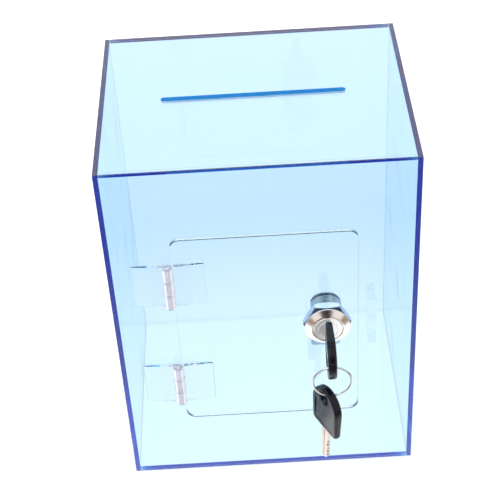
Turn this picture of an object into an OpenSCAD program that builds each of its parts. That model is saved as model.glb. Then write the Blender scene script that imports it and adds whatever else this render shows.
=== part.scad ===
// Clear acrylic donation box with a hinged front door, a cam lock and two keys.
// Millimetres. Origin at the centre of the underside, +Z up, the door faces -Y.

/* [Case] */
// Outside width of the case
case_w = 150; // [120:1:200]
// Outside depth of the case
case_d = 120; // [80:1:170]
// Outside height of the case
case_h = 200; // [180:1:260]
// Thickness of the acrylic sheet
sheet_t = 2.3; // [2:0.1:3]
// Cement film between glued faces
glue_line = 0.05; // [0.02:0.01:0.1]

/* [Money slot] */
// Length of the slot in the top panel
slot_l = 90; // [40:1:110]
// Width of the slot
slot_w = 3.5; // [2.5:0.1:6]

/* [Door] */
// Width of the cut-out in the front panel
door_w = 90; // [84:1:100]
// Height of the cut-out
door_h = 120; // [110:1:140]
// Corner radius of the cut-out
door_r = 5; // [2:0.5:10]
// Gap cut all round the door
door_kerf = 0.4; // [0.3:0.05:0.8]
// Height of the door's centre above the table
door_z = 100; // [90:1:110]
// Sideways offset of the door from the middle of the case
door_x = 1; // [-4:0.5:4]

/* [Hinges] */
// Height of one hinge
hinge_h = 25; // [18:1:34]
// Width of one leaf, from the pin to its thin edge
leaf_w = 17.7; // [12:0.1:19]
// Thickness of a leaf beside the barrel
leaf_root_t = 2; // [1.4:0.1:2.2]
// Thickness of a leaf at its outer edge
leaf_tip_t = 0.5; // [0.4:0.1:1.2]
// Diameter of the barrel
barrel_d = 5; // [4.6:0.1:6]
// Diameter of the hinge pin
pin_d = 2; // [1.5:0.1:2.4]
// Distance between the two hinges' centres
hinge_pitch = 66; // [50:1:80]
// Distance from the pin to the edge of the cut-out
hinge_offset = 1.7; // [1.2:0.1:3]
// Running gap between neighbouring knuckles
knuckle_gap = 0.25; // [0.15:0.05:0.5]

/* [Lock] */
// Distance from the lock's axis to the free edge of the cut-out
lock_inset = 15.4; // [14:0.1:20]
// Diameter of the bezel's rim
bezel_d = 22.5; // [21.5:0.1:26]
// Height of the bezel in front of the door
bezel_h = 2.8; // [2:0.1:4]
// Thread diameter of the lock's body
body_d = 18; // [16.5:0.1:19]
// Width of the body across its two flats
body_flats = 15; // [13.5:0.1:16]
// Pitch of the body's thread
thread_pitch = 1; // [0.75:0.05:1.5]
// Diameter of the plug's head
plug_head_d = 14.8; // [14:0.1:16]
// Gap all round the plug's head
plug_head_clear = 0.2; // [0.1:0.05:0.3]
// Diameter of the plug's shank
plug_d = 11.4; // [10.5:0.1:11.8]
// Radial running clearance of the plug
plug_clear = 0.08; // [0.05:0.01:0.1]
// Width of the nut across its flats
nut_flats = 21; // [20.5:0.1:23]
// Thickness of the nut
nut_t = 4.5; // [3:0.1:6]

/* [Cam] */
// Length of the cam from the axis to its tip
cam_l = 27.6; // [24:0.1:34]
// Width of the cam
cam_w = 15; // [12:0.1:16]
// Thickness of the cam
cam_t = 2; // [1.5:0.1:2.5]
// Side of the square tail that drives the cam
tail_w = 7; // [6:0.1:7.5]
// Angle the plug turns through between unlocked and locked
lock_turn = 90; // [80:5:100]
// Width of the strike block beside the door
strike_w = 4; // [3:0.5:6]
// Play between the locked cam and the strike block
strike_play = 1.2; // [0.4:0.1:2]
// Height of the strike block
strike_h = 28.5; // [18:0.5:40]
// Distance from the cut-out to the strike block
strike_gap = 5; // [2:0.5:8]

/* [Keys] */
// Width of a key's head
head_w = 21.6; // [18:0.2:24]
// Length of a key's head
head_l = 26.6; // [24:0.2:30]
// Thickness of a key's head
head_t = 4.4; // [4:0.1:5]
// How much thinner the head is at the blade
head_taper = 0.9; // [0:0.1:1.2]
// Rounding of the head's edges
head_round = 1.2; // [0.6:0.1:1.6]
// Diameter of the hole for the key ring
hole_d = 5.4; // [4.6:0.1:6]
// Distance from the hole's centre to the end of the head
hole_inset = 5.4; // [4.8:0.1:6.4]
// Width of a key's blade
blade_w = 5.2; // [4.6:0.1:6]
// Thickness of a key's blade
blade_t = 1.7; // [1.4:0.1:2]
// Length of the blade beyond the head
blade_l = 21; // [18.5:0.1:24]
// Stretch of the blade left bare between the plug and the head
key_neck = 3.9; // [3.6:0.1:5]
// Outside diameter of the key ring
ring_d = 20; // [18:0.5:24]
// Thickness of the ring's wire
wire_d = 1.1; // [0.9:0.1:1.3]
// Angle between the spare key's head and the front of the case
spare_yaw = 62; // [55:1:75]
// How far the spare key has slipped sideways along the ring
spare_slip = 2.4; // [0:0.2:2.8]
// How far the spare key hangs askew, its tip to the left
spare_lean = 2; // [0:0.5:4]

/* [Hidden] */

acrylic = "#a8dcf5";
clear_plastic = "#d8e4ee";
nickel = "#b9b4ac";
zinc = "#a9b3bd";
steel = "#8f949a";
nylon = "#f1ebec";
spring_brass = "#c2a35a";
black_plastic = "#2b2b33";

smooth = 64;
front_y = -case_d / 2;
inner_w = case_w - 2 * sheet_t - 2 * glue_line;
inner_d = case_d - 2 * sheet_t - 2 * glue_line;

// The door fills its cut-out but for the kerf.
door_left = door_x - door_w / 2;
door_right = door_x + door_w / 2;

// Hinge pin, clear of the front panel by the radius of the barrel.
pin_x = door_left - hinge_offset;
pin_y = front_y - glue_line - barrel_d / 2;
pin_fit = 0.05;
pin_seat = 0.02;
knuckle_h = (hinge_h - 2 * knuckle_gap) / 3;

// Lock frame: local +z points out of the front of the door, local +y points up.
lock_x = door_right - lock_inset;
lock_z = door_z;
seat_z = glue_line;
hole_clear = 0.2;
rim_t = 0.7;
tip_room = 0.9;
body_l = blade_l - key_neck - bezel_h + tip_room;
bezel_face_d = plug_head_d + 1.5;
plug_face_z = bezel_h + 0.1;
plug_step_z = 0.6;
plug_tip_z = -body_l;
bore_d = plug_d + 2 * plug_clear;
thread_depth = 0.5;
thread_start_z = -2.9;

// Behind the body come the stop washer, the cam, a washer and a screw.
stop_t = 1.4;
stack_gap = 0.05;
stop_z = plug_tip_z - stack_gap - stop_t;
stop_tab_r = 8;
stop_disc_r = 6.2;
stop_tab_a = 24;
stop_side_gap = 1;
lug_r = stop_disc_r + 0.35;
lug_w = 1.8;
cam_z = stop_z - stack_gap - cam_t;
tail_end_z = cam_z + 0.2;
square_clear = 0.06;
screw_d = 4;
screw_clear = 0.03;
screw_hole_l = 3.2;
screw_l = screw_hole_l - 0.2 + tail_end_z - cam_z;
washer_d = 9.6;
washer_t = 0.8;
washer_z = cam_z - stack_gap - washer_t;
screw_head_d = 7.6;
screw_head_h = 2.4;

// The strike block reaches from the front panel almost to the locked cam.
strike_x = door_right + strike_gap + strike_w / 2;
strike_y = front_y + sheet_t + glue_line;
strike_d = front_y - cam_z - cam_t - strike_play - strike_y;

// Keyway and wafers
key_clear = 0.12;
keyway_depth = key_neck - blade_l - tip_room;
wafer_count = 5;
wafer_t = 0.8;
wafer_w = 6.4;
wafer_slot = 0.1;
wafer_first_z = -1.6;
wafer_pitch = (body_l + 2 * wafer_first_z) / wafer_count;
window_clear = 0.3;

// Key head, in its own plane: x across, y towards the ring, 0 at the blade.
arch_r = head_w / 2;
shoulder_r = 3;
panel_rim = 2.8;
panel_depth = 0.5;
panel_top = head_l - hole_inset - hole_d / 2 - 1.6;
flare = 1;
flare_from = 0.5;
tang_l = 11;
tang_clear = 0.04;
cut_depths = [0.5, 0.9, 0.3, 0.8, 0.6];
cut_flat = 0.5;
cut_flank = 0.5;
tip_l = 2;
tip_w = 1.6;
groove_w = 1.5;
groove_depth = 0.45;
groove_start = 1.5;

// Key in the lock: the hole's centre lies on the lock's axis.
head_z = plug_face_z + key_neck;
hole_z = head_z + head_l - hole_inset;
hole_y = front_y - hole_z;

// The ring hangs in the hole, and the spare key hangs in the ring.
wire_gap = 0.35;
ring_r = (ring_d - wire_d) / 2;
hang = hole_d / 2 - wire_d / 2 - wire_gap;
ring_z = lock_z - hang - ring_r;
ring_cut = 1.5;
spare_x = lock_x - spare_slip;
spare_wire_z = ring_z - sqrt(ring_r * ring_r - spare_slip * spare_slip);

echo(pin = [pin_x, pin_y], lock = [lock_x, front_y, lock_z]);
echo(hole = [lock_x, hole_y, lock_z], ring_z = ring_z, cam_y = front_y - cam_z);
echo(spare = [spare_x, hole_y, spare_wire_z], slope = spare_slip / ring_r);

// ---------- Sheet ----------

// A sheet of w by h lying in XY, its thickness along +Z
module sheet(w, h) {
  translate([-w / 2, -h / 2, 0]) cube([w, h, sheet_t]);
}

// A rectangle of w by h with round corners, drawn exactly
module round_rect(w, h, r) {
  square([w - 2 * r, h], center = true);
  square([w, h - 2 * r], center = true);
  for (x = [-1, 1], y = [-1, 1])
    translate([x * (w / 2 - r), y * (h / 2 - r)]) circle(r, $fn = smooth);
}

// Children drawn in XY stand up in the plane of the front panel
module on_front() {
  translate([0, front_y + sheet_t, 0]) rotate([90, 0, 0]) children();
}

module base_panel() {
  color(acrylic, 0.5) sheet(inner_w, inner_d);
}

module top_panel() {
  color(acrylic, 0.5) translate([0, 0, case_h - sheet_t]) difference() {
    sheet(inner_w, inner_d);
    translate([0, 0, -1]) linear_extrude(sheet_t + 2)
      round_rect(slot_l, slot_w, slot_w / 2 - 0.01);
  }
}

module front_panel() {
  color(acrylic, 0.5) on_front() difference() {
    translate([0, case_h / 2, 0]) sheet(inner_w, case_h);
    translate([door_x, door_z, -1]) linear_extrude(sheet_t + 2)
      round_rect(door_w, door_h, door_r);
  }
}

module back_panel() {
  color(acrylic, 0.5) translate([0, case_d / 2, case_h / 2]) rotate([90, 0, 0])
    sheet(inner_w, case_h);
}

// side is -1 for the left wall and 1 for the right wall
module side_panel(side) {
  color(acrylic, 0.5) translate([side * (case_w / 2 - sheet_t / 2), 0, case_h / 2])
    rotate([0, 90, 0]) translate([0, 0, -sheet_t / 2]) sheet(case_h, case_d);
}

module strike_block() {
  color(acrylic, 0.5)
    translate([strike_x - strike_w / 2, strike_y, lock_z - strike_h / 2])
      cube([strike_w, strike_d, strike_h]);
}

// ---------- Door and hinges ----------

// The lock's hole has two flats, so that the body can't turn in it
module body_outline(clear) {
  intersection() {
    circle(body_d / 2 + clear, $fn = smooth);
    square([body_flats + 2 * clear, body_d + 4], center = true);
  }
}

module door_panel() {
  color(acrylic, 0.5) on_front() difference() {
    translate([door_x, door_z, 0]) linear_extrude(sheet_t)
      round_rect(door_w - 2 * door_kerf, door_h - 2 * door_kerf, door_r - door_kerf);
    translate([lock_x, lock_z, -1]) linear_extrude(sheet_t + 2) body_outline(hole_clear);
  }
}

// Wedge section of a leaf, seen along the pin, reaching to +x
module leaf_section(start) {
  back = -barrel_d / 2;
  polygon([[start, back], [leaf_w - 0.3, back], [leaf_w, back + 0.2],
    [leaf_w - 0.1, back + leaf_tip_t], [barrel_d / 2 + 0.6, back + leaf_root_t],
    [start, back + leaf_root_t]]);
}

// One moulded leaf about the pin. slots lists the knuckles it carries, 0 to 2.
module hinge_leaf(slots, pin_gap) {
  pitch = knuckle_h + knuckle_gap;
  relief = barrel_d / 2 + knuckle_gap;
  difference() {
    union() {
      translate([0, 0, -hinge_h / 2]) linear_extrude(hinge_h) leaf_section(relief);
      for (s = slots) translate([0, 0, s * pitch - hinge_h / 2]) {
        cylinder(h = knuckle_h, d = barrel_d, $fn = smooth);
        linear_extrude(knuckle_h) leaf_section(0);
      }
    }
    translate([0, 0, -hinge_h]) cylinder(h = 2 * hinge_h, r = pin_d / 2 + pin_gap, $fn = smooth);
  }
}

// side is 1 for the upper hinge and -1 for the lower one
module at_hinge(side) {
  translate([pin_x, pin_y, door_z + side * hinge_pitch / 2]) children();
}

// Turned about, so that the leaf points to the left and still lies on the panel
module case_leaf(side) {
  color(clear_plastic, 0.6) at_hinge(side) mirror([1, 0, 0]) mirror([0, 1, 0])
    hinge_leaf([0, 2], pin_seat);
}

module door_leaf(side) {
  color(clear_plastic, 0.6) at_hinge(side) mirror([0, 1, 0]) hinge_leaf([1], pin_fit);
}

module hinge_pin(side) {
  tip = 0.3;
  color(nylon) at_hinge(side) rotate_extrude($fn = smooth)
    polygon([[0, -hinge_h / 2], [pin_d / 2 - tip, -hinge_h / 2],
      [pin_d / 2, -hinge_h / 2 + tip], [pin_d / 2, hinge_h / 2 - tip],
      [pin_d / 2 - tip, hinge_h / 2], [0, hinge_h / 2]]);
}

// ---------- Lock ----------

module in_lock() {
  translate([lock_x, front_y, lock_z]) rotate([90, 0, 0]) children();
}

// Outline of the threaded body and the coned bezel, from the back to the front
function thread_profile() = [for (z = [plug_tip_z + 1 : thread_pitch : thread_start_z - thread_pitch])
  each [[body_d / 2 - thread_depth, z], [body_d / 2, z + thread_pitch / 2]]];

module lock_body() {
  step_r = plug_head_d / 2 + plug_head_clear;
  lug_start = 270 + stop_tab_a / 2 + stop_side_gap + lock_turn;
  lug_span = 360 - lock_turn - stop_tab_a - 2 * stop_side_gap;
  color(nickel) in_lock() difference() {
    union() {
      rotate_extrude($fn = smooth) polygon(concat(
        [[bore_d / 2, plug_tip_z], [body_d / 2 - thread_depth, plug_tip_z]],
        thread_profile(),
        [[body_d / 2 - thread_depth, thread_start_z], [body_d / 2, thread_start_z + 0.5],
          [body_d / 2, seat_z], [bezel_d / 2 - 0.2, seat_z], [bezel_d / 2, seat_z + 0.2],
          [bezel_d / 2, seat_z + rim_t], [bezel_face_d / 2 + 0.3, bezel_h - 0.1],
          [bezel_face_d / 2, bezel_h], [step_r + 0.15, bezel_h], [step_r, bezel_h - 0.15],
          [step_r, plug_step_z - plug_clear], [bore_d / 2, plug_step_z - plug_clear]]));
      // Raised arc on the back of the body, against which the stop washer's tab turns
      translate([0, 0, stop_z]) rotate([0, 0, lug_start])
        rotate_extrude(angle = lug_span, $fn = smooth)
          translate([lug_r, 0]) square([lug_w, plug_tip_z - stop_z + 0.2]);
    }
    for (side = [-1, 1]) translate([side * (body_flats / 2 + 5), 0, stop_z + seat_z - 1])
      translate([-5, -body_d / 2 - 1, 0]) cube([10, body_d + 2, 1 - stop_z]);
  }
}

module lock_nut() {
  nut_r = nut_flats / 2 / cos(30);
  color(zinc) in_lock() translate([0, 0, -sheet_t - glue_line - nut_t]) difference() {
    intersection() {
      cylinder(h = nut_t, r = nut_r, $fn = 6);
      rotate_extrude($fn = smooth) polygon([[0, 0], [nut_flats / 2 - 0.2, 0],
        [nut_r + 0.1, 1], [nut_r + 0.1, nut_t - 1], [nut_flats / 2 - 0.2, nut_t], [0, nut_t]]);
    }
    translate([0, 0, -1]) cylinder(h = nut_t + 2, r = body_d / 2 + 0.05, $fn = smooth);
  }
}

// Wafers lie across the plug, one behind the other along the keyway
module each_wafer() {
  for (i = [0 : wafer_count - 1])
    translate([0, 0, wafer_first_z - i * wafer_pitch]) children();
}

module keyway(clear) {
  translate([-blade_t / 2 - clear, -blade_w / 2 - clear, keyway_depth + plug_face_z])
    cube([blade_t + 2 * clear, blade_w + 2 * clear, blade_l]);
}

module lock_plug() {
  color(nickel) in_lock() difference() {
    union() {
      rotate_extrude($fn = smooth) polygon([[0, plug_tip_z], [plug_d / 2 - 0.2, plug_tip_z],
        [plug_d / 2, plug_tip_z + 0.2], [plug_d / 2, plug_step_z], [plug_head_d / 2, plug_step_z],
        [plug_head_d / 2, plug_face_z - 0.3], [plug_head_d / 2 - 0.3, plug_face_z],
        [5.4, plug_face_z], [5.2, plug_face_z - 0.2], [4.9, plug_face_z - 0.2],
        [4.7, plug_face_z], [0, plug_face_z]]);
      translate([-tail_w / 2, -tail_w / 2, tail_end_z]) cube([tail_w, tail_w, plug_tip_z - tail_end_z + 0.5]);
    }
    keyway(key_clear);
    each_wafer() translate([-wafer_w / 2 - wafer_slot, -plug_d, -wafer_slot])
      cube([wafer_w + 2 * wafer_slot, 2 * plug_d, wafer_t + 2 * wafer_slot]);
    translate([0, 0, tail_end_z - 1])
      cylinder(h = 1 + screw_hole_l, d = screw_d + 2 * screw_clear, $fn = smooth);
  }
}

module wafers() {
  color(spring_brass) in_lock() each_wafer() difference() {
    intersection() {
      cylinder(h = wafer_t, d = plug_d - 0.1, $fn = smooth);
      translate([-wafer_w / 2, -plug_d, 0]) cube([wafer_w, 2 * plug_d, wafer_t]);
    }
    translate([-blade_t / 2 - window_clear, -blade_w / 2 - window_clear, -1])
      cube([blade_t + 2 * window_clear, blade_w + 2 * window_clear, wafer_t + 2]);
  }
}

// A disc with one tab, turned by the plug's square tail
module stop_washer() {
  color(steel) in_lock() translate([0, 0, stop_z]) difference() {
    union() {
      cylinder(h = stop_t, r = stop_disc_r, $fn = smooth);
      rotate([0, 0, 270 - stop_tab_a / 2]) rotate_extrude(angle = stop_tab_a, $fn = smooth)
        square([stop_tab_r, stop_t]);
    }
    square_hole(stop_t);
  }
}

module square_hole(t) {
  side = tail_w + 2 * square_clear;
  translate([-side / 2, -side / 2, -1]) cube([side, side, t + 2]);
}

// The cam hangs down when the door is free, and swings up behind the strike block
module cam() {
  tip_r = 1.5;
  color(steel) in_lock() translate([0, 0, cam_z]) difference() {
    linear_extrude(cam_t) {
      circle(cam_w / 2, $fn = smooth);
      translate([-cam_w / 2, -cam_l + tip_r]) square([cam_w, cam_l - tip_r]);
      translate([-cam_w / 2 + tip_r, -cam_l]) square([cam_w - 2 * tip_r, cam_l]);
      for (side = [-1, 1])
        translate([side * (cam_w / 2 - tip_r), -cam_l + tip_r]) circle(tip_r, $fn = smooth);
    }
    square_hole(cam_t);
  }
}

module cam_washer() {
  color(zinc) in_lock() translate([0, 0, washer_z]) difference() {
    cylinder(h = washer_t, d = washer_d, $fn = smooth);
    translate([0, 0, -1]) cylinder(h = washer_t + 2, d = screw_d + 0.3, $fn = smooth);
  }
}

// Pan head with a cross recess, seen from inside the case
module cam_screw() {
  recess_w = 0.9;
  recess_l = 4;
  under = washer_z - stack_gap;
  color(zinc) in_lock() difference() {
    rotate_extrude($fn = smooth) polygon([[0, under - screw_head_h],
      [screw_head_d * 0.3, under - screw_head_h], [screw_head_d * 0.42, under - screw_head_h * 0.8],
      [screw_head_d / 2, under - screw_head_h * 0.4], [screw_head_d / 2, under],
      [screw_d / 2, under], [screw_d / 2, cam_z + screw_l - 0.4],
      [screw_d / 2 - 0.4, cam_z + screw_l], [0, cam_z + screw_l]]);
    for (turn = [0, 90]) rotate([0, 0, turn])
      translate([-recess_l / 2, -recess_w / 2, under - screw_head_h - 1])
        cube([recess_l, recess_w, 1 + screw_head_h * 0.6]);
  }
}

// ---------- Keys ----------

// A key lies in XY: +y towards its ring, the shoulder of its head at y = 0

// Right edge of the blade from the head to the tip, with a cut for each wafer
function blade_edge() = concat([[blade_w / 2, tang_l]],
  [for (i = [0 : wafer_count - 1]) let (y = cut_y(i), d = cut_depths[i])
    each [[blade_w / 2, y + cut_flat / 2 + cut_flank], [blade_w / 2 - d, y + cut_flat / 2],
      [blade_w / 2 - d, y - cut_flat / 2], [blade_w / 2, y - cut_flat / 2 - cut_flank]]],
  [[blade_w / 2, tip_l - blade_l], [tip_w / 2, -blade_l]]);

function cut_y(i) = wafer_first_z - i * wafer_pitch + wafer_t / 2 - head_z;

function mirrored(points) =
  [for (i = [len(points) - 1 : -1 : 0]) [-points[i][0], points[i][1]]];

module blade() {
  difference() {
    translate([0, 0, -blade_t / 2]) linear_extrude(blade_t)
      polygon(concat(blade_edge(), mirrored(blade_edge())));
    for (side = [-1, 1])
      translate([-groove_w / 2, -blade_l - 1, side * (blade_t / 2 + groove_depth / 2) - groove_depth])
        cube([groove_w, blade_l + 1 - groove_start, 2 * groove_depth]);
  }
}

// Arched outline of the head, drawn inset
module head_outline(inset) {
  translate([0, head_l - arch_r]) circle(arch_r - inset, $fn = smooth);
  translate([inset - arch_r, inset]) square([head_w - 2 * inset, head_l - arch_r - inset]);
}

// Moulded head: edges rounded all the way round, both faces sunk, a flared hole
module head() {
  rounding = [0, 30, 60, 90];
  difference() {
    hull() for (a = rounding) {
      inset = head_round * (1 - sin(a));
      t = head_t - 2 * head_round * (1 - cos(a));
      translate([0, head_l - arch_r, 0])
        cylinder(h = t, r = arch_r - inset, center = true, $fn = smooth);
      for (side = [-1, 1]) translate([side * (head_w / 2 - shoulder_r), shoulder_r, 0])
        cylinder(h = t - head_taper, r = shoulder_r - inset, center = true, $fn = 32);
    }
    for (side = [-1, 1]) mirror([0, 0, side < 0 ? 1 : 0]) {
      translate([0, 0, head_t / 2 - panel_depth]) linear_extrude(1) intersection() {
        head_outline(panel_rim);
        translate([-head_w, 0]) square([2 * head_w, panel_top]);
      }
      translate([0, head_l - hole_inset, flare_from])
        cylinder(h = head_t / 2 - flare_from + 0.01, r1 = hole_d / 2, r2 = hole_d / 2 + flare,
          $fn = smooth);
    }
    translate([0, head_l - hole_inset, 0])
      cylinder(h = head_t, d = hole_d, center = true, $fn = smooth);
    translate([-blade_w / 2 - tang_clear, -1, -blade_t / 2 - tang_clear])
      cube([blade_w + 2 * tang_clear, tang_l + tang_clear + 1, blade_t + 2 * tang_clear]);
  }
}

module key_in_lock() {
  in_lock() translate([0, 0, head_z]) rotate([90, 0, 90]) children();
}

module spare_key() {
  translate([spare_x, hole_y, spare_wire_z]) rotate([0, spare_lean, 0])
    rotate([0, 0, -spare_yaw]) rotate([90, 0, 0])
      translate([0, hole_inset - hang - head_l, 0]) children();
}

module key_blade() {
  color(nickel) key_in_lock() blade();
}

module key_head() {
  color(black_plastic) key_in_lock() head();
}

module key_ring() {
  cut_at = 288;
  color(steel) translate([lock_x, hole_y, ring_z]) rotate([90, 0, 0])
    rotate([0, 0, cut_at + ring_cut / 2]) rotate_extrude(angle = 360 - ring_cut, $fn = smooth)
      translate([ring_r, 0]) circle(wire_d / 2, $fn = 32);
}

module spare_key_blade() {
  color(nickel) spare_key() blade();
}

module spare_key_head() {
  color(black_plastic) spare_key() head();
}

base_panel();
front_panel();
back_panel();
side_panel(-1);  // left_panel
side_panel(1);  // right_panel
top_panel();
strike_block();
case_leaf(1);  // case_leaf_upper
case_leaf(-1);  // case_leaf_lower
hinge_pin(1);  // hinge_pin_upper
hinge_pin(-1);  // hinge_pin_lower
door_panel();
door_leaf(1);  // door_leaf_upper
door_leaf(-1);  // door_leaf_lower
lock_body();
lock_nut();
lock_plug();
wafers();
stop_washer();
cam();
cam_washer();
cam_screw();
key_blade();
key_head();
key_ring();
spare_key_blade();
spare_key_head();
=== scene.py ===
import math
import bpy
from mathutils import Matrix, Vector


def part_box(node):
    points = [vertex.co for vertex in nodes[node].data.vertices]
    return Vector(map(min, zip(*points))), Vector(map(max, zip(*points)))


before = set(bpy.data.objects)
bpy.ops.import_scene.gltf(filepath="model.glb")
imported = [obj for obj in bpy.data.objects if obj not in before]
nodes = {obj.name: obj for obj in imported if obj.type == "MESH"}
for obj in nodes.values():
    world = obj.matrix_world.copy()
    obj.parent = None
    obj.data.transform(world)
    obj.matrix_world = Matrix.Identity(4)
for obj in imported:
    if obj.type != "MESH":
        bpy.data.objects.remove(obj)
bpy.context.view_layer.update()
scene = bpy.context.scene

# ---- Camera ----
# It stands above and in front of the box with a long lens and is tilted a little to one side.
# The frame is 500 pixels wide, and the lens is given by its focal length in pixels.
AZIMUTH, ELEVATION, ROLL = math.radians(0.3219), math.radians(39.4985), math.radians(-3.5004)
STANDS_AT = (-0.003005, -0.544564, 0.551161)
FOCAL_PIXELS, FRAME_PIXELS, SENSOR_MM = 1325.386, 500, 36

looking = Vector((-math.sin(AZIMUTH) * math.cos(ELEVATION),
                  math.cos(AZIMUTH) * math.cos(ELEVATION), -math.sin(ELEVATION)))
level = looking.cross(Vector((0, 0, 1))).normalized()
upward = level.cross(looking)
right = math.cos(ROLL) * level + math.sin(ROLL) * upward
up = math.cos(ROLL) * upward - math.sin(ROLL) * level
camera = bpy.data.objects.new("camera", bpy.data.cameras.new("camera"))
scene.collection.objects.link(camera)
turned_to = Matrix((right, up, -looking)).transposed().to_4x4()
camera.matrix_world = Matrix.Translation(STANDS_AT) @ turned_to
camera.data.sensor_width = SENSOR_MM
camera.data.lens = SENSOR_MM * FOCAL_PIXELS / FRAME_PIXELS
camera.data.clip_start = 0.01
scene.camera = camera
scene.view_settings.view_transform = "Standard"

# ---- Studio ----
# A white room: a white floor, an even white surround with one darker patch where somebody
# stands in front of the box, and a large soft lamp overhead.
PAPER_WHITE, ROOM_WHITE = "#fbfbfb", "#fffdfb"
DARK_PATCH_AT, DARK_PATCH = (-0.03, -0.88, 0.474), 0.03
BRIGHT_PATCH_AT, BRIGHT_PATCH = (0, 0.77, 0.64), 1.9
# Tints of the room as it is seen through a sheet: away from the box, near it, and on the wall.
# On the floor they are painted light, a glow that is brightest near the box and bluer away from
# it.
FAR_FLOOR_PAINTED_LIGHT, NEAR_FLOOR_PAINTED_LIGHT = (0.745, 0.855, 1.09, 1), (0.965, 0.985, 1.03, 1)
WALL = (0.805, 0.922, 1.17, 1)
# How bright the floor is to metal, near the box and far from it, and its warmth out there.
NEAR_MIRRORED, FAR_MIRRORED, MIRRORED_WARMTH = 2.2, 0.5, (0.8, 0.6, 0.5, 1)
FLOOR_GLOW = 0.28
# Distance on the floor is counted in these two, a little more than the box's width and depth.
REACH_X, REACH_Y = 0.16, 0.13


def colour(code):
    """Linear colour, with alpha 1, of an sRGB hex code."""
    parts = [int(code[i:i + 2], 16) / 255 for i in (1, 3, 5)]
    linear = [c / 12.92 if c <= 0.04045 else ((c + 0.055) / 1.055) ** 2.4 for c in parts]
    return (*linear, 1)


def add(tree, kind, links=(), **settings):
    """A node of that kind. A setting named after a socket sets it, any other is an attribute."""
    made = tree.nodes.new(kind)
    sockets = {s.name.replace(" ", "_"): s for s in reversed(made.inputs)}
    for name, value in settings.items():
        if name in sockets:
            sockets[name].default_value = value
        elif name.startswith("in") and name[2:].isdigit():
            made.inputs[int(name[2:])].default_value = value
        else:
            setattr(made, name, value)
    for target, source in dict(links).items():
        socket = made.inputs[target] if isinstance(target, int) else sockets[target]
        tree.links.new(source if hasattr(source, "is_linked") else source.outputs[0], socket)
    return made


def empty_material(name):
    material = bpy.data.materials.new(name)
    material.use_nodes = True
    material.node_tree.nodes.clear()
    return material, material.node_tree


world = bpy.data.worlds.new("studio")
scene.world = world
world.use_nodes = True
tree = world.node_tree
tree.nodes.clear()
towards = add(tree, "ShaderNodeTexCoord").outputs["Generated"]
facing = add(tree, "ShaderNodeVectorMath", {0: towards}, operation="DOT_PRODUCT",
             in1=DARK_PATCH_AT)
dark = add(tree, "ShaderNodeMapRange", {"Value": facing.outputs["Value"]}, From_Min=0.9,
           From_Max=0.985, To_Min=1.0, To_Max=DARK_PATCH, interpolation_type="SMOOTHERSTEP")
behind = add(tree, "ShaderNodeVectorMath", {0: towards}, operation="DOT_PRODUCT",
             in1=BRIGHT_PATCH_AT)
bright = add(tree, "ShaderNodeMapRange", {"Value": behind.outputs["Value"]}, From_Min=0.75,
             From_Max=0.98, To_Min=1.0, To_Max=BRIGHT_PATCH, interpolation_type="SMOOTHERSTEP")
strength = add(tree, "ShaderNodeMath", {0: dark, 1: bright}, operation="MULTIPLY")
# Seen through a sheet, the wall of the room has the floor's tint, so that no horizon shows.
heading = add(tree, "ShaderNodeSeparateXYZ", {0: towards})
low = add(tree, "ShaderNodeMapRange", {"Value": heading.outputs[2]}, From_Min=0.15, From_Max=0.5,
          To_Min=1, To_Max=0)
light_path = add(tree, "ShaderNodeLightPath")
low = add(tree, "ShaderNodeMath", {0: low, 1: light_path.outputs["Is Transmission Ray"]},
          operation="MULTIPLY")
wall = add(tree, "ShaderNodeMix", {"Factor": low}, data_type="RGBA", in6=colour(ROOM_WHITE),
           in7=WALL)
surround = add(tree, "ShaderNodeBackground", {"Strength": strength, "Color": wall.outputs[2]})
add(tree, "ShaderNodeOutputWorld", {"Surface": surround})

# The floor lies just under the base. Sheets show it as tinted painted light, a glow brightest near
# the box, and metal shows it bright, most of all near the box; to the eye it is plain white paper
# with the box's shadow.
FLOOR_M, FLOOR_Z = 6, -0.0002
bpy.ops.mesh.primitive_grid_add(x_subdivisions=8, y_subdivisions=8, size=FLOOR_M,
                                location=(0, 0, FLOOR_Z))
floor = bpy.context.object
floor.name = "studio_floor"
material, tree = empty_material("white_floor")
paper = add(tree, "ShaderNodeBsdfDiffuse", Color=colour(PAPER_WHITE), Roughness=0.6)
glow = add(tree, "ShaderNodeEmission", Color=(1, 1, 1, 1), Strength=FLOOR_GLOW)
direct = add(tree, "ShaderNodeAddShader", {0: paper, 1: glow})
place = add(tree, "ShaderNodeNewGeometry").outputs["Position"]
from_box = add(tree, "ShaderNodeVectorMath", {0: place}, operation="MULTIPLY",
               in1=(1 / REACH_X, 1 / REACH_Y, 0))
reach = add(tree, "ShaderNodeVectorMath", {0: from_box}, operation="LENGTH").outputs["Value"]
fade = add(tree, "ShaderNodeMapRange", {"Value": reach}, From_Min=0.45, From_Max=1.35,
           interpolation_type="SMOOTHSTEP")
# Painted light: the floor glows brighter near the box, as the sheets see it.
painted_floor_light = add(tree, "ShaderNodeMix", {"Factor": fade}, data_type="RGBA", in6=NEAR_FLOOR_PAINTED_LIGHT,
           in7=FAR_FLOOR_PAINTED_LIGHT)
seen_through = add(tree, "ShaderNodeEmission", {"Color": painted_floor_light.outputs[2]}, Strength=1)
shadowed = add(tree, "ShaderNodeBsdfDiffuse", Color=(0.1, 0.1, 0.1, 1))
behind_sheet = add(tree, "ShaderNodeAddShader", {0: seen_through, 1: shadowed})
near = add(tree, "ShaderNodeMapRange", {"Value": reach}, From_Min=0.5, From_Max=2.3,
           To_Min=NEAR_MIRRORED, To_Max=FAR_MIRRORED, interpolation_type="SMOOTHSTEP")
warmth = add(tree, "ShaderNodeMapRange", {"Value": reach}, From_Min=1.3, From_Max=2.3)
warm = add(tree, "ShaderNodeMix", {"Factor": warmth}, data_type="RGBA", in6=(1, 1, 1, 1),
           in7=MIRRORED_WARMTH)
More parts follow.
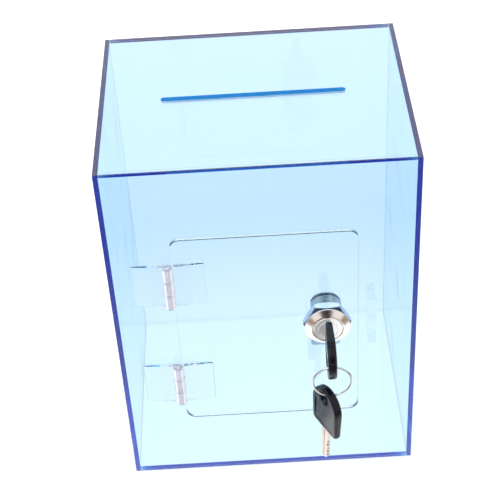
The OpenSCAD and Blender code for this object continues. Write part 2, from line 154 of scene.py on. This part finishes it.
mirrored = add(tree, "ShaderNodeEmission", {"Strength": near, "Color": warm.outputs[2]})
light_path = add(tree, "ShaderNodeLightPath")
glossy = add(tree, "ShaderNodeMixShader",
             {0: light_path.outputs["Is Glossy Ray"], 1: direct, 2: mirrored})
both = add(tree, "ShaderNodeMixShader",
           {0: light_path.outputs["Is Transmission Ray"], 1: glossy, 2: behind_sheet})
add(tree, "ShaderNodeOutputMaterial", {"Surface": both})
floor.data.materials.append(material)

SOFTBOX_M, SOFTBOX_WATTS, SOFTBOX_AT = (0.9, 0.6), 3, (-0.55, -0.35, 1.1)
lamp = bpy.data.objects.new("softbox", bpy.data.lights.new("softbox", "AREA"))
scene.collection.objects.link(lamp)
lamp.data.shape = "RECTANGLE"
lamp.data.size, lamp.data.size_y = SOFTBOX_M
lamp.data.energy = SOFTBOX_WATTS
lamp.location = SOFTBOX_AT
lamp.rotation_euler = (Vector((0, 0, 0.1)) - lamp.location).to_track_quat("-Z", "Y").to_euler()

# ---- Case and door: clear acrylic ----
# Laser-cut sheet of polished cast acrylic with a light blue dye, cemented edge to face. The dye
# is in the sheet, so it deepens with the length of sheet that the light has crossed: pale
# through a face, dark blue along an edge.
ACRYLIC_IOR = 1.49
# The dye lets blue through best and red least. Its density is per metre of sheet.
DYE, DYE_DENSITY = (0.0, 0.655, 0.8875, 1), 80
LAMPS_THROUGH_SHEET = (0.93, 0.93, 0.93, 1)
# The cut rims get a painted shade of this dark grey; the slot's frosted faces are this blue.
RIM_PAINTED_SHADE, FROSTED_SLOT = "#42535c", "#34b4ec"
# Waves of the polishing about 29 mm long, and haze in clouds of about 5 mm.
WAVES_PER_M, HAZE_PER_M = 35, 220
RIM_ROUGHNESS, HAZE_ROUGHNESS = 0.10, 0.035
# How much of the light each kind of rim scatters, and how dark the painted shade on the cut rims
# is.
RIM_FROST, LEAST_RIM_SHADE, MOST_RIM_SHADE, SLOT_FROST = 0.02, 0.4, 0.9, 0.6


def within(tree, place, low, high):
    """1 where place lies in the box from low to high, else 0."""
    middle, half = (Vector(low) + Vector(high)) / 2, (Vector(high) - Vector(low)) / 2
    offset = add(tree, "ShaderNodeVectorMath", {0: place}, operation="SUBTRACT", in1=middle)
    away = add(tree, "ShaderNodeVectorMath", {0: offset}, operation="ABSOLUTE")
    past = add(tree, "ShaderNodeVectorMath", {0: away}, operation="SUBTRACT", in1=half)
    parts = add(tree, "ShaderNodeSeparateXYZ", {0: past})
    most = add(tree, "ShaderNodeMath", {0: parts.outputs[0], 1: parts.outputs[1]},
               operation="MAXIMUM")
    most = add(tree, "ShaderNodeMath", {0: most, 1: parts.outputs[2]}, operation="MAXIMUM")
    return add(tree, "ShaderNodeMath", {0: most}, operation="LESS_THAN", in1=0.0)


# Solvent cement melts two faces into one, so light crosses the joint as if it weren't there. The
# boxes hold the melted faces: three kinds of corner, alike on every side of the case's middle,
# and the strip at the outer end of each hinge leaf.
FILM, BEYOND = 0.00002, 1
CASE_LEAF_STRIP, DOOR_LEAF_STRIP = 0.0083, 0.007
case_low, case_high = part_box("left_panel")[0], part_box("right_panel")[1]
middle_z = (case_low[2] + case_high[2]) / 2
front_y = case_low[1]
wall_x, wall_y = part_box("right_panel")[0][0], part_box("back_panel")[0][1]
wall_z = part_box("top_panel")[0][2] - middle_z
rim_x, rim_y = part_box("top_panel")[1][0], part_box("top_panel")[1][1]
corner_joints = [
    ((rim_x - FILM, wall_y, -BEYOND), (wall_x + FILM, BEYOND, BEYOND)),
    ((rim_x - FILM, -BEYOND, wall_z), (wall_x + FILM, BEYOND, BEYOND)),
    ((-BEYOND, rim_y - FILM, wall_z), (rim_x + FILM, wall_y + FILM, BEYOND)),
]
leaves = ["case_leaf_upper", "case_leaf_lower", "door_leaf_upper", "door_leaf_lower"]
leaf_joints = []
for leaf in leaves:
    low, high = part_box(leaf)
    if "case" in leaf:
        left, right = low[0], low[0] + CASE_LEAF_STRIP
    else:
        left, right = high[0] - DOOR_LEAF_STRIP, high[0]
    leaf_joints.append(((left, high[1] - FILM, low[2]), (right, front_y + FILM, high[2])))

# The rims that the laser cut round the door are painted dark, a painted shade in the gap between
# the door and the front. The money slot's faces stayed frosted and glow blue.
MARGIN, SLOT_END_X, SLOT_SIDE_Y = 0.001, 0.05, 0.01
door_low, door_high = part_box("door_panel")
cut_out = [tuple(v - MARGIN for v in door_low), tuple(v + MARGIN for v in door_high)]
slot_zone = ((-SLOT_END_X, -SLOT_SIDE_Y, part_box("top_panel")[0][2] - MARGIN),
             (SLOT_END_X, SLOT_SIDE_Y, case_high[2] + MARGIN))


def melted(tree, place):
    """1 on the faces that cement has melted together, else 0."""
    level = add(tree, "ShaderNodeVectorMath", {0: place}, operation="SUBTRACT",
                in1=(0, 0, middle_z))
    folded = add(tree, "ShaderNodeVectorMath", {0: level}, operation="ABSOLUTE")
    found = [within(tree, folded, *joint) for joint in corner_joints]
    found += [within(tree, place, *joint) for joint in leaf_joints]
    total = found[0]
    for other in found[1:]:
        total = add(tree, "ShaderNodeMath", {0: total, 1: other}, operation="MAXIMUM")
    return total


def finish_glass(material, glass, melts, lamps_through, dye, density):
    """The lamps shine through the glass, and the dye fills it. melts is 1 where it isn't there."""
    tree = material.node_tree
    light_path = add(tree, "ShaderNodeLightPath")
    open_to_lamps = add(tree, "ShaderNodeBsdfTransparent", Color=lamps_through)
    lit = add(tree, "ShaderNodeMixShader",
              {0: light_path.outputs["Is Shadow Ray"], 1: glass, 2: open_to_lamps})
    nothing = add(tree, "ShaderNodeBsdfTransparent", Color=(1, 1, 1, 1))
    surface = add(tree, "ShaderNodeMixShader", {0: melts, 1: lit, 2: nothing})
    inside = add(tree, "ShaderNodeVolumeAbsorption", Color=dye, Density=density)
    add(tree, "ShaderNodeOutputMaterial", {"Surface": surface, "Volume": inside})


def tinted_acrylic(name, across):
    """across is the axis that the sheet's two polished faces look along."""
    material, tree = empty_material(name)
    place = add(tree, "ShaderNodeTexCoord").outputs["Object"]
    normal = add(tree, "ShaderNodeNewGeometry").outputs["Normal"]
    along = add(tree, "ShaderNodeVectorMath", {0: normal}, operation="DOT_PRODUCT", in1=across)
    face = add(tree, "ShaderNodeMath", {0: along.outputs["Value"]}, operation="ABSOLUTE")
    rim = add(tree, "ShaderNodeMapRange", {"Value": face}, From_Min=0.2, From_Max=0.8,
              To_Min=1, To_Max=0)
    ripple = add(tree, "ShaderNodeTexNoise", {"Vector": place}, Scale=WAVES_PER_M, Detail=1)
    wavy = add(tree, "ShaderNodeBump", {"Height": ripple}, Strength=0.12, Distance=0.0004)
    haze = add(tree, "ShaderNodeTexNoise", {"Vector": place}, Scale=HAZE_PER_M, Detail=4,
               Roughness=0.7)
    polish = add(tree, "ShaderNodeMapRange", {"Value": haze}, From_Min=0.45, From_Max=0.75,
                 To_Min=0, To_Max=HAZE_ROUGHNESS)
    rough = add(tree, "ShaderNodeMapRange", {"Value": face, "To_Max": polish}, From_Min=0.2,
                From_Max=0.8, To_Min=RIM_ROUGHNESS)
    cut = add(tree, "ShaderNodeMath", {0: within(tree, place, *cut_out), 1: rim},
              operation="MULTIPLY")
    slot = add(tree, "ShaderNodeMath", {0: within(tree, place, *slot_zone), 1: rim},
               operation="MULTIPLY")
    shaded_rim = add(tree, "ShaderNodeMix", {"Factor": cut}, data_type="RGBA", in6=(1, 1, 1, 1),
                 in7=colour(RIM_PAINTED_SHADE))
    frosted = add(tree, "ShaderNodeMix", {"Factor": slot, 6: shaded_rim.outputs[2]}, data_type="RGBA",
                  in7=colour(FROSTED_SLOT))
    # The painted shade is darkest on the cut-out's upright rims.
    sideways = add(tree, "ShaderNodeSeparateXYZ", {0: normal})
    upright = add(tree, "ShaderNodeMath", {0: sideways.outputs[0]}, operation="ABSOLUTE")
    rim_shade = add(tree, "ShaderNodeMapRange", {"Value": upright}, From_Min=0.3, From_Max=0.8,
               To_Min=LEAST_RIM_SHADE, To_Max=MOST_RIM_SHADE)
    hazy = add(tree, "ShaderNodeMath", {0: rim}, operation="MULTIPLY", in1=RIM_FROST)
    rim_shade_and_frost = add(tree, "ShaderNodeMath", {0: cut, 1: rim_shade, 2: hazy}, operation="MULTIPLY_ADD")
    diffuse_share = add(tree, "ShaderNodeMath", {0: slot, 2: rim_shade_and_frost}, operation="MULTIPLY_ADD",
                 in1=SLOT_FROST)
    glassy = add(tree, "ShaderNodeMath", {1: diffuse_share}, operation="SUBTRACT", in0=1.0)
    glass = add(tree, "ShaderNodeBsdfPrincipled",
                {"Base_Color": frosted.outputs[2], "Roughness": rough, "Normal": wavy,
                 "Transmission_Weight": glassy}, IOR=ACRYLIC_IOR)
    finish_glass(material, glass, melted(tree, place), LAMPS_THROUGH_SHEET, DYE, DYE_DENSITY)
    return material


def dress(names, material):
    for name in names:
        piece = nodes[name]
        piece.data.materials.clear()
        piece.data.materials.append(material)


dress(["left_panel", "right_panel"], tinted_acrylic("acrylic_walls", (1, 0, 0)))
dress(["front_panel", "back_panel", "door_panel"],
      tinted_acrylic("acrylic_front_and_back", (0, 1, 0)))
dress(["top_panel", "base_panel"], tinted_acrylic("acrylic_top_and_base", (0, 0, 1)))

# ---- Strike block: clear acrylic without dye ----
# A short bar of clear sheet stuck behind the front, on which the cam closes. It was sawn to
# length, and its matt ends hardly show.
UNDYED, UNDYED_DENSITY = (0.5, 0.85, 0.95, 1), 4
LAMPS_THROUGH_CLEAR = (0.95, 0.95, 0.95, 1)
FAINT_END = 0.75
# The saw marks are drawn every 1.1 mm, coarser than real ones so that they show.
SAW_MARKS_PER_M = 900
material, tree = empty_material("undyed_acrylic")
place = add(tree, "ShaderNodeTexCoord").outputs["Object"]
normal = add(tree, "ShaderNodeNewGeometry").outputs["Normal"]
facing = add(tree, "ShaderNodeSeparateXYZ", {0: normal})
end = add(tree, "ShaderNodeMath", {0: facing.outputs[2]}, operation="ABSOLUTE")
saw_marks = add(tree, "ShaderNodeTexNoise", {"Vector": place}, Scale=SAW_MARKS_PER_M, Detail=3)
sawn = add(tree, "ShaderNodeBump", {"Height": saw_marks}, Strength=0.3, Distance=0.00005)
matt = add(tree, "ShaderNodeMapRange", {"Value": end}, From_Min=0.3, From_Max=0.7, To_Min=0.03,
           To_Max=0.4)
faint = add(tree, "ShaderNodeMapRange", {"Value": end}, From_Min=0.3, From_Max=0.7, To_Min=0,
            To_Max=FAINT_END)
glass = add(tree, "ShaderNodeBsdfPrincipled", {"Roughness": matt, "Normal": sawn},
            Base_Color=(1, 1, 1, 1), IOR=ACRYLIC_IOR, Transmission_Weight=1)
finish_glass(material, glass, faint, LAMPS_THROUGH_CLEAR, UNDYED, UNDYED_DENSITY)
dress(["strike_block"], material)

# ---- Hinges: clear moulded plastic ----
# Small injection-moulded leaves, cemented on the front sheet and on the door. The leaves are
# clear with faint ends, and their thick knuckles go a little milky.
# The underside's grey-blue tone is painted shade.
LEAF_TONE, UNDERSIDE_PAINTED_SHADE = "#fcfaff", "#8fa9b2"
LEAF_DENSITY = 12
# The plastic's flow in the mould left streaks of about 7 mm.
FLOW_PER_M = 150
# The knuckle's milk fades out between these distances from the pin.
KNUCKLE_INNER, KNUCKLE_OUTER = 0.0022, 0.0032
KNUCKLE_MILK, UNDERSIDE_SHADE_SHARE, END_FROST, MATT_ROUGHNESS = 0.15, 0.5, 0.85, 0.3
material, tree = empty_material("clear_moulded_plastic")
place = add(tree, "ShaderNodeTexCoord").outputs["Object"]
geometry = add(tree, "ShaderNodeNewGeometry")
flow = add(tree, "ShaderNodeTexNoise", {"Vector": place}, Scale=FLOW_PER_M, Detail=2)
mould = add(tree, "ShaderNodeBump", {"Height": flow}, Strength=0.1, Distance=0.0002)
facing = add(tree, "ShaderNodeSeparateXYZ", {0: geometry.outputs["Normal"]})

# The underside, seen from above through the leaf, gets a painted shade where it is seen directly:
# a dull grey-blue. Light that comes down inside the leaf passes it, which keeps the top edges
# dark.
level = add(tree, "ShaderNodeMath", {0: facing.outputs[2]}, operation="ABSOLUTE")
level = add(tree, "ShaderNodeMapRange", {"Value": level}, From_Min=0.5, From_Max=0.9)
painted_underside_shade = add(tree, "ShaderNodeMath", {0: level, 1: geometry.outputs["Backfacing"]},
            operation="MULTIPLY")
light_path = add(tree, "ShaderNodeLightPath")
direct = add(tree, "ShaderNodeMath", {0: light_path.outputs["Ray Depth"]}, operation="LESS_THAN",
             in1=1.5)
painted_underside_shade = add(tree, "ShaderNodeMath", {0: painted_underside_shade, 1: direct}, operation="MULTIPLY")

sideways = add(tree, "ShaderNodeMath", {0: facing.outputs[0]}, operation="ABSOLUTE")
ends = add(tree, "ShaderNodeMapRange", {"Value": sideways}, From_Min=0.35, From_Max=0.6)
pin_x = sum(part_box("hinge_pin_upper")[side][0] for side in (0, 1)) / 2
parts = add(tree, "ShaderNodeSeparateXYZ", {0: place})
beside = add(tree, "ShaderNodeMath", {0: parts.outputs[0]}, operation="SUBTRACT", in1=pin_x)
beside = add(tree, "ShaderNodeMath", {0: beside}, operation="ABSOLUTE")
knuckle = add(tree, "ShaderNodeMapRange", {"Value": beside}, From_Min=KNUCKLE_INNER,
              From_Max=KNUCKLE_OUTER, To_Min=1, To_Max=0)
matt = add(tree, "ShaderNodeMath", {0: ends, 1: knuckle}, operation="MAXIMUM")
skin = add(tree, "ShaderNodeMapRange", {"Value": flow}, To_Min=0.02, To_Max=0.08)
skin = add(tree, "ShaderNodeMath", {0: matt, 2: skin}, operation="MULTIPLY_ADD",
           in1=MATT_ROUGHNESS)
tone = add(tree, "ShaderNodeMix", {"Factor": painted_underside_shade}, data_type="RGBA", in6=colour(LEAF_TONE),
           in7=colour(UNDERSIDE_PAINTED_SHADE))
diffuse_share = add(tree, "ShaderNodeMath", {0: knuckle}, operation="MULTIPLY", in1=KNUCKLE_MILK)
diffuse_share = add(tree, "ShaderNodeMath", {0: painted_underside_shade, 2: diffuse_share}, operation="MULTIPLY_ADD",
             in1=UNDERSIDE_SHADE_SHARE)
frosted = add(tree, "ShaderNodeMath", {0: ends}, operation="MULTIPLY", in1=END_FROST)
diffuse_share = add(tree, "ShaderNodeMath", {0: diffuse_share, 1: frosted}, operation="MAXIMUM")
glassy = add(tree, "ShaderNodeMath", {1: diffuse_share}, operation="SUBTRACT", in0=1.0)
glass = add(tree, "ShaderNodeBsdfPrincipled",
            {"Base_Color": tone.outputs[2], "Roughness": skin, "Normal": mould,
             "Transmission_Weight": glassy}, IOR=ACRYLIC_IOR)
flat_part = add(tree, "ShaderNodeMath", {1: knuckle}, operation="SUBTRACT", in0=FAINT_END)
faint = add(tree, "ShaderNodeMath", {0: ends, 1: flat_part}, operation="MULTIPLY")
faint = add(tree, "ShaderNodeMath", {0: faint, 1: melted(tree, place)}, operation="MAXIMUM")
finish_glass(material, glass, faint, LAMPS_THROUGH_CLEAR, UNDYED, LEAF_DENSITY)
dress(leaves, material)

# The pins are drawn nylon rod, milky white, and the round barrels magnify them. Real drawing
# marks are finer than these clouds of 1.7 mm, which are as fine as show.
NYLON_PALE, NYLON_DULL, NYLON_IOR, CLOUDS_PER_M = "#fbf8ff", "#f2ebf5", 1.53, 600
material, tree = empty_material("milky_nylon")
place = add(tree, "ShaderNodeTexCoord").outputs["Object"]
cloud = add(tree, "ShaderNodeTexNoise", {"Vector": place}, Scale=CLOUDS_PER_M, Detail=3)
tone = add(tree, "ShaderNodeMix", {"Factor": cloud}, data_type="RGBA", in6=colour(NYLON_PALE),
           in7=colour(NYLON_DULL))
drawn = add(tree, "ShaderNodeBump", {"Height": cloud}, Strength=0.1, Distance=0.00003)
nylon = add(tree, "ShaderNodeBsdfPrincipled", {"Base_Color": tone.outputs[2], "Normal": drawn},
            Roughness=0.45, IOR=NYLON_IOR)
add(tree, "ShaderNodeOutputMaterial", {"Surface": nylon})
dress(["hinge_pin_upper", "hinge_pin_lower"], material)

# ---- Lock ----
# The body and bezel are turned zinc with nickel plate, clamped in the door by a hexagonal nut.
# The lathe's fine rings draw the reflections out into wedges. The plug's face is satin nickel,
# which is duller.
# The body's cooler tone behind the door and the dark of its thread roots are painted shade.
NICKEL, NICKEL_PAINTED_SHADE, ROOT_PAINTED_SHADE = "#efe8e2", "#c3d0de", "#3a4658"
PLUG_NICKEL, ZINC, BRASS = "#ffffff", "#cfd6de", "#d9b66a"
# The nut's dark navy front face is painted shade.
NUT_ZINC, NUT_FACE_PAINTED_SHADE = "#d2dae4", "#141e4e"
# The grain of plating and stamping is finer than these 0.7 to 1.1 mm, which are as fine as show.
TURNED_PER_M, ROLLED_PER_M, STAMPED_PER_M = 1500, 900, 1200
GRAINS_PER_STAIN = 12
# Radii between which the thread's roots turn to its flanks.
ROOT_R, FLANK_R = 0.0086, 0.0088


def plated_metal(name, base, low, high, scale, spread=0.0, turned=0.0, metallic=1.0):
    """Metal with slow stains and roughness from low to high. turned stretches reflections across
    lathe rings round the Y axis."""
    material, tree = empty_material(name)
    place = add(tree, "ShaderNodeTexCoord").outputs["Object"]
    grain = add(tree, "ShaderNodeTexNoise", {"Vector": place}, Scale=scale, Detail=5,
                Roughness=0.65)
    stain = add(tree, "ShaderNodeTexNoise", {"Vector": place}, Scale=scale / GRAINS_PER_STAIN,
                Detail=3)
    dull = tuple(c * (1 - spread) for c in colour(base)[:3]) + (1,)
    tone = add(tree, "ShaderNodeMix", {"Factor": stain}, data_type="RGBA", in6=colour(base),
               in7=dull)
    polish = add(tree, "ShaderNodeMapRange", {"Value": grain}, From_Min=0.3, From_Max=0.7,
                 To_Min=low, To_Max=high)
    fine = add(tree, "ShaderNodeBump", {"Height": grain}, Strength=0.05, Distance=0.00002)
    metal = add(tree, "ShaderNodeBsdfPrincipled",
                {"Base_Color": tone.outputs[2], "Roughness": polish, "Normal": fine},
                Metallic=metallic, Anisotropic=turned)
    if turned:
        rings = add(tree, "ShaderNodeTangent", direction_type="RADIAL", axis="Y")
        tree.links.new(rings.outputs[0], metal.inputs["Tangent"])
    add(tree, "ShaderNodeOutputMaterial", {"Surface": metal})
    return material


def tone_where(material, factor, code):
    """Mixes another colour into the material's own where factor is 1."""
    tree = material.node_tree
    metal = next(n for n in tree.nodes if n.type == "BSDF_PRINCIPLED")
    own = metal.inputs["Base Color"].links[0].from_socket
    tone = add(tree, "ShaderNodeMix", {"Factor": factor, 6: own}, data_type="RGBA",
               in7=colour(code))
    tree.links.new(tone.outputs[2], metal.inputs["Base Color"])


# Behind the door the body has painted shade, a cooler darker tone, darkest in the roots of the
# thread.
material = plated_metal("turned_nickel", NICKEL, 0.13, 0.2, TURNED_PER_M, spread=0.06,
                        turned=0.7)
tree = material.node_tree
place = add(tree, "ShaderNodeTexCoord").outputs["Object"]
parts = add(tree, "ShaderNodeSeparateXYZ", {0: place})
inside = add(tree, "ShaderNodeMath", {0: parts.outputs[1]}, operation="GREATER_THAN", in1=front_y)
tone_where(material, inside, NICKEL_PAINTED_SHADE)
low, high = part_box("lock_body")
axis = ((low[0] + high[0]) / 2, 0, (low[2] + high[2]) / 2)
out = add(tree, "ShaderNodeVectorMath", {0: place}, operation="SUBTRACT", in1=axis)
out = add(tree, "ShaderNodeVectorMath", {0: out}, operation="MULTIPLY", in1=(1, 0, 1))
radius = add(tree, "ShaderNodeVectorMath", {0: out}, operation="LENGTH")
root = add(tree, "ShaderNodeMapRange", {"Value": radius.outputs["Value"]}, From_Min=ROOT_R,
           From_Max=FLANK_R, To_Min=1, To_Max=0)
shaded_roots = add(tree, "ShaderNodeMath", {0: root, 1: inside}, operation="MULTIPLY")
tone_where(material, shaded_roots, ROOT_PAINTED_SHADE)
dress(["lock_body"], material)
dress(["lock_plug"],
      plated_metal("satin_nickel", PLUG_NICKEL, 0.2, 0.27, TURNED_PER_M, spread=0.04,
                   metallic=0.65))
# Behind it the plain parts are bright zinc, a cool grey with soft reflections, and the wafers
# are stamped brass, a warm yellow that is seen only down the keyway.
dress(["stop_washer", "cam", "cam_washer", "cam_screw"],
      plated_metal("bright_zinc", ZINC, 0.18, 0.34, ROLLED_PER_M, spread=0.12))
dress(["wafers"], plated_metal("stamped_brass", BRASS, 0.2, 0.4, STAMPED_PER_M, spread=0.15))

# The nut's front face is pressed on the sheet and is painted dark navy, a painted shade.
material = plated_metal("zinc_nut", NUT_ZINC, 0.18, 0.3, ROLLED_PER_M, spread=0.1)
tree = material.node_tree
normal = add(tree, "ShaderNodeNewGeometry").outputs["Normal"]
front = add(tree, "ShaderNodeVectorMath", {0: normal}, operation="DOT_PRODUCT", in1=(0, -1, 0))
painted_shade_face = add(tree, "ShaderNodeMapRange", {"Value": front.outputs["Value"]}, From_Min=0.6,
              From_Max=0.8)
tone_where(material, painted_shade_face, NUT_FACE_PAINTED_SHADE)
dress(["lock_nut"], material)

# ---- Keys and ring ----
# Stamped blades with nickel plate in heads of moulded black plastic, on a ring of bright spring
# wire. The heads are smooth with a soft gloss, worn in patches, and the wire mirrors the room.
BLADE, WIRE = "#b5aaa2", "#c6cbcd"
HEAD_DARK, HEAD_WORN, HEAD_IOR, HEAD_GLOSS = "#0b0b14", "#12121e", 1.5, 0.24
# The mould's grain is drawn every 0.4 mm, coarser than it is so that it shows, and the worn
# patches are 5.5 mm across.
MOULD_PER_M, WEAR_PER_M = 2500, 180
dress(["key_blade", "spare_key_blade"],
      plated_metal("nickel_blade", BLADE, 0.2, 0.32, TURNED_PER_M, spread=0.1))
dress(["key_ring"], plated_metal("bright_wire", WIRE, 0.04, 0.09, TURNED_PER_M, spread=0.05))
material, tree = empty_material("black_moulded_plastic")
place = add(tree, "ShaderNodeTexCoord").outputs["Object"]
grain = add(tree, "ShaderNodeTexNoise", {"Vector": place}, Scale=MOULD_PER_M, Detail=3)
wear = add(tree, "ShaderNodeTexNoise", {"Vector": place}, Scale=WEAR_PER_M, Detail=4)
tone = add(tree, "ShaderNodeMix", {"Factor": wear}, data_type="RGBA", in6=colour(HEAD_DARK),
           in7=colour(HEAD_WORN))
polish = add(tree, "ShaderNodeMapRange", {"Value": wear}, From_Min=0.3, From_Max=0.7, To_Min=0.12,
             To_Max=0.22)
fine = add(tree, "ShaderNodeBump", {"Height": grain}, Strength=0.1, Distance=0.00002)
plastic = add(tree, "ShaderNodeBsdfPrincipled",
              {"Base_Color": tone.outputs[2], "Roughness": polish, "Normal": fine},
              IOR=HEAD_IOR, Specular_IOR_Level=HEAD_GLOSS)
add(tree, "ShaderNodeOutputMaterial", {"Surface": plastic})
dress(["key_head", "spare_key_head"], material)

# Light that runs inside the sheets to their edges is mirrored there many times.
scene.cycles.max_bounces = 160
scene.cycles.transmission_bounces = 160
scene.cycles.transparent_max_bounces = 96
scene.cycles.glossy_bounces = 160
